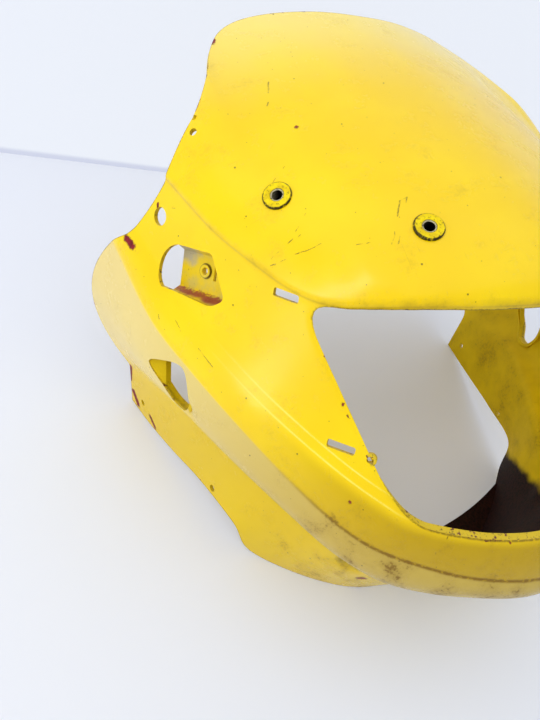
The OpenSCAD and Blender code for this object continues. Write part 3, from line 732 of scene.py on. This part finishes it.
def walls(inner, outer):
    """Wall between two strips of four corners each: a block whose faces are spanned by them."""
    block = [[0, 1, 2, 3], [7, 6, 5, 4], [0, 4, 5, 1], [1, 5, 6, 2], [2, 6, 7, 3], [3, 7, 4, 0]]
    return place(np.concatenate([inner, outer]), window_at), block


def pocket_wall(y, z, thick_y, thick_z):
    """Wall of the pocket that runs from its edge at (y[0], z[0]) to its edge at (y[1], z[1])."""
    inner = np.array([[pocket_front - 5, y[0], z[0]], [pocket_rear, y[0], z[0]],
                      [pocket_rear, y[1], z[1]], [pocket_front - 3, y[1], z[1]]], float)
    return walls(inner, inner + [0, thick_y, thick_z])


lead = np.array([[pocket_front - 2, -pocket_mouth, -skin_depth],
                 [pocket_front - 2, pocket_mouth, -skin_depth], [pocket_front, pocket_back, -pocket_depth],
                 [pocket_front, -pocket_back, -pocket_depth]])
pocket = [pocket_wall((pocket_mouth, pocket_back), (-skin_depth, -pocket_depth), wall, 0),
          pocket_wall((-pocket_mouth, -pocket_back), (-skin_depth, -pocket_depth), -wall, 0),
          walls(lead, lead - [wall, 0, 0])]


def band(loops):
    """Closed ring of quads through loops of equal length, taken in turn round its section."""
    index = np.arange(len(loops) * len(loops[0])).reshape(len(loops), -1)
    after = np.roll(index, -1, 0)
    faces = np.stack([index, np.roll(index, -1, 1), np.roll(after, -1, 1), after], -1).reshape(-1, 4)
    return np.concatenate(loops), faces.tolist()


def scoop_loop(rise, grow):
    """The scoop's outline, moved along its axis by rise and outward by grow."""
    return place(scoop_local + [0, 0, rise] + unit(scoop_local * [1, 1, 0]) * grow, scoop_at)


duct_top, duct_foot, ramp_wall = -1.8, -7, 4.5
duct = band([scoop_loop(rise, grow) for rise, grow in ((duct_top, 0), (duct_foot, 0), (duct_foot, wall),
                                                       (duct_top, wall))])
ramp_corners = ((6.71, 0.36, 0.5), (6.57, 0.235, 9), (6.31, 0.53, 0.9))
ramp_top = np.array([strip("flank", u, t)[0] - scoop_at[3] * depth for u, t, depth in ramp_corners])
ramp = (np.concatenate([ramp_top, ramp_top - scoop_at[3] * ramp_wall]),
        [[2, 1, 0], [3, 4, 5], [1, 4, 3, 0], [2, 5, 4, 1], [0, 3, 5, 2]])
pocket_sides = joined(both_sides(pocket))
points, faces = joined([pocket_sides] + both_sides([duct, ramp]) + [chin_floor])
kind = np.repeat([pocket_side, inner_side], [len(pocket_sides[1]), len(faces) - len(pocket_sides[1])])
inner_walls = new_object("cowl_inner_walls", points, faces, finishes, kind, smooth=False)
fix_normals(inner_walls)
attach(inner_walls, "root")

# In the pocket the paint is dusty and greyed at the rear, and worn to red plastic low in front. A dark ring
# about the axis of the boss, which stands on the back wall, is painted shade round the boss's foot.
boss_at, boss_d = np.array([0.0, 2.0]), 9.0
axis_reach = 30                          # half the length of a line that stands for an axis
pocket_face = Finish(finishes[pocket_side])
at, x, y, z = pocket_face.position()
step, mix = pocket_face.step, pocket_face.mix
folded = pocket_face.folded(x, y, z)
off = pocket_face.vec("SUBTRACT", folded, tuple(window_at[0]))
along, up, out = (pocket_face.vec("DOT_PRODUCT", off, tuple(window_at[k]), out=1) for k in (1, 2, 3))
cloud, grain = pocket_face.noise(at, 0.07, 4), pocket_face.noise(at, 0.5, 5, 0.7)
base = mix(step(cloud, 0.4, 0.65), colour(244, 212, 20), colour(222, 200, 90))
grey = step(along + (cloud - 0.5) * 20, 4, 12) * step(up + (cloud - 0.5) * 14, 0, 6)
base = mix(grey * 0.8, base, colour(176, 172, 160))
red = step(-along + up * 0.6 + (grain - 0.5) * 22 + (cloud - 0.5) * 30, 15, 19)
cheek = step(-up + (grain - 0.5) * 8, 11.5, 13.5) * step(-out + (cloud - 0.5) * 12, 5, 9)
worn_red = mix(step(grain, 0.42, 0.6), colour(136, 4, 28), colour(160, 52, 60))
base = mix(red.math("MAXIMUM", cheek) * 0.9, base, worn_red)
axis_point = window_at[0] + window_at[1] * boss_at[0] + window_at[2] * boss_at[1]
axis = window_at[3] * axis_reach
# Painted shade: a dark ring round the foot of the boss.
ring = abs(pocket_face.to_segment(folded, axis_point - axis, axis_point + axis) - 4.7)
base = mix((1 - step(ring, 0.2, 0.8)) * step(-out, 10, 12) * 0.75, base, colour(60, 42, 10))
base = mix(step(grain, 0.6, 0.7) * 0.5, base, colour(110, 84, 20))
pocket_face.cover(Base_Color=base, Roughness=0.45, Specular_IOR_Level=0.3)

# ---- Pocket backs ----
# Each pocket's back wall carries a boss with a screw hole, and a narrow slot lies in front of the boss.
# It is moulded in one with the pocket's side walls and has their finish.
boss_h, boss_hole_d, slot_l, slot_w, through = 1.5, 5.0, 10.0, 2.4, 6


def drum(d, low, high, at, centre=(0, 0)):
    points, faces = prism(circle(d, 36) + centre, low, high)
    return place(points, at), faces


back_wall = pocket_wall((-pocket_back - wall, pocket_back + wall), (-pocket_depth, -pocket_depth), 0, -wall)
boss = drum(boss_d, -pocket_depth - wall, -pocket_depth + boss_h, window_at, boss_at)
boss_hole = drum(boss_hole_d, -pocket_depth - through, -pocket_depth + through, window_at, boss_at)
slot_points, slot_faces = prism(np.array([[-1, -1], [1, -1], [1, 1], [-1, 1]]) * [slot_w / 2, slot_l / 2]
                                + boss_at - [boss_d / 2 + 1.5 * slot_w, 0],
                                -pocket_depth - through, -pocket_depth + through)
points, faces = joined(both_sides([back_wall, boss]))
kind = np.full(len(faces), pocket_side)
backs = new_object("cowl_pocket_backs", points, faces, finishes, kind, smooth=False)
points, faces = joined(both_sides([boss_hole, (place(slot_points, window_at), slot_faces)]))
carve(backs, new_object("pocket tools", points, faces, finishes, np.full(len(faces), pocket_side)),
      solver="EXACT", use_self=True)
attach(backs, "root")

# ---- Pin ears ----
# The small round ear about each pin hole stands in the edge of the headlight opening, moulded with the
# shell, with a bevelled rim that is worn like the cut edges.
ear_d, ear_top_d, ear_foot, ear_bevel, ear_top = 7.6, 7.0, -3.2, -0.5, -0.2
ear_section = ((ear_d, ear_foot), (ear_d, ear_bevel), (ear_top_d, ear_top), (pin_d, ear_top),
               (pin_d, ear_foot))
ear_at = local_frame(*pin_place)
ear = band([place(np.c_[circle(d, 36), np.full(36, level)], ear_at) for d, level in ear_section])
points, faces = joined(both_sides([ear]))
ears = new_object("cowl_pin_ears", points, faces, finishes, np.full(len(faces), cut_edge))
fix_normals(ears)
ears.data.set_sharp_from_angle(angle=sharp_angle)
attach(ears, "root")

# ---- Well nuts and their inserts ----
# Four flanged rubber nuts, pushed into holes of the dome to take the screen's screws, with a brass thread
# bonded into each. They have yellow overspray, are worn black at the rim and are bright at the thread, and
# their bores are painted nearly black as painted shade.
nut_reach = 40                           # half the length of a line that stands for a nut's axis
for name in ("well_nuts", "nut_inserts"):
    material = bpy.data.materials.new(name + " finish")
    nut = Finish(material)
    step, mix = nut.step, nut.mix
    at, x, y, z = nut.position()
    folded = nut.folded(x, y, z)
    front_nut, rear_nut = (nut.to_segment(folded, p - n * nut_reach, p + n * nut_reach)
                           for p, _, _, n in (local_frame(*spot) for spot in nut_places))
    radius = front_nut.math("MINIMUM", rear_nut)
    grain, cloud = nut.noise(at, 0.7, 5, 0.7), nut.noise(at, 0.2, 3)
    ragged = radius + (grain - 0.5) * 1.1
    base = mix(step(cloud, 0.4, 0.65), colour(246, 218, 4), colour(226, 194, 6))
    base = mix(step(grain, 0.56, 0.64) * 0.7, base, colour(80, 60, 12))
    base = mix(step(ragged, 7.7, 8.3) * step(grain, 0.3, 0.5), base, colour(46, 38, 16))
    base = mix(1 - step(ragged, 3.9, 4.5), base, colour(58, 46, 14))
    base = mix((1 - step(ragged, 3.8, 4.0)) * step(grain, 0.35, 0.5), base, colour(196, 186, 150))
    # Painted shade: the bore, rubber and brass thread alike, is painted nearly black.
    base = mix(1 - step(radius, 3.15, 3.35), base, colour(8, 7, 6))
    nut.cover(Base_Color=base, Roughness=0.5, Specular_IOR_Level=0.15)
    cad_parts[name].data.materials.clear()
    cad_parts[name].data.materials.append(material)

# ---- Table ----
# A plain white table top under the cowl, so large that its edges are never seen. What the camera sees of
# it gets a little light of its own.
table_x, table_y = 3000, 2500
table_points = np.array([[-1, -1, 0], [1, -1, 0], [1, 1, 0], [-1, 1, 0]]) * [table_x, table_y, 0]
table_finish = bpy.data.materials.new("table white")
table = new_object("table", table_points, [[0, 1, 2, 3]], [table_finish], smooth=False)
white = Finish(table_finish)
surface = white.node("ShaderNodeMixShader", {
    0: white.node("ShaderNodeLightPath") * 0.12,
    1: white.node("ShaderNodeBsdfPrincipled", {"Base Color": (0.83, 0.85, 0.91, 1), "Roughness": 0.6}),
    2: white.node("ShaderNodeEmission", {"Color": (0.84, 0.86, 0.95, 1), "Strength": 1.0})})
white.node("ShaderNodeOutputMaterial", {"Surface": surface})

# ---- Backdrop ----
# A white sheet that rises behind the table from a fold across it. The fold is painted as a thin bluish line of
# shade.
fold_a, fold_b = np.array([-257.0, 675 - nose_zero, 0]), np.array([-60.0, 634 - nose_zero, 0])
fold = unit(fold_b - fold_a)
fold_left, fold_right, sheet_rise = fold_a - fold * 3000, fold_a + fold * 4000, np.array([0, 300, 2500])
sheet = np.array([fold_left, fold_right, fold_right + sheet_rise, fold_left + sheet_rise])
backdrop_finish = bpy.data.materials.new("backdrop white")
backdrop = new_object("backdrop", sheet, [[0, 1, 2, 3]], [backdrop_finish], smooth=False)
far = Finish(backdrop_finish)
seen = far.node("ShaderNodeLightPath")
fold_shade_blue, sheet_white = (0.62, 0.66, 0.82, 1), (0.87, 0.91, 0.99, 1)
sheet_colour = far.mix(far.step(far.position()[3], 3, 9), fold_shade_blue, sheet_white)
surface = far.node("ShaderNodeMixShader", {
    0: seen * 0.2 + 0.6,
    1: far.node("ShaderNodeBsdfPrincipled", {"Base Color": (0.86, 0.89, 0.96, 1), "Roughness": 0.7}),
    2: far.node("ShaderNodeEmission", {"Color": sheet_colour, "Strength": 1.0})})
far.node("ShaderNodeOutputMaterial", {"Surface": surface})

# ---- Light and camera ----
# Soft studio light: a bright even surround, a large soft lamp above and a narrow window at the left.
# The camera looks down at the cowl's right side from in front.
world = bpy.data.worlds.new("surround")
bpy.context.scene.world = world
world.use_nodes = True
world.node_tree.nodes["Background"].inputs["Color"].default_value = (0.9, 0.94, 1.0, 1)
world.node_tree.nodes["Background"].inputs["Strength"].default_value = 0.62


def soft_lamp(name, place_mm, aim_mm, width, height, watts):
    """Rectangular area lamp at a place, turned so that it faces its aim."""
    data = bpy.data.lights.new(name, "AREA")
    data.shape, data.size, data.size_y, data.energy = "RECTANGLE", width, height, watts
    lamp = bpy.data.objects.new(name, data)
    bpy.context.scene.collection.objects.link(lamp)
    lamp.location = Vector(place_mm) * mm
    lamp.rotation_euler = (Vector(aim_mm) - Vector(place_mm)).to_track_quat("-Z", "Y").to_euler()


soft_lamp("top softbox", (-100, 250, 1700), (0, 0, 100), 2.4, 2.4, 12)
soft_lamp("left window", (-1400, -250, 850), (0, 0, 150), 0.22, 1.7, 9)

lens = bpy.data.cameras.new("camera")
lens.lens, lens.sensor_width, lens.sensor_fit = 27.0, 36.0, "AUTO"
lens.clip_start, lens.clip_end = 0.02, 20.0
camera = bpy.data.objects.new("camera", lens)
bpy.context.scene.collection.objects.link(camera)
eye = Vector((-280, -nose_zero, 405)) * mm
right_axis = Vector((0.89309, -0.37587, 0.24721))
down_axis = Vector((-0.14226, -0.75726, -0.63743))
look_axis = Vector((0.42679, 0.53412, -0.72978))
turn = Matrix((right_axis, -down_axis, -look_axis)).transposed().to_4x4()
camera.matrix_world = Matrix.Translation(eye) @ turn
bpy.context.scene.camera = camera
bpy.context.scene.view_settings.view_transform = "Standard"
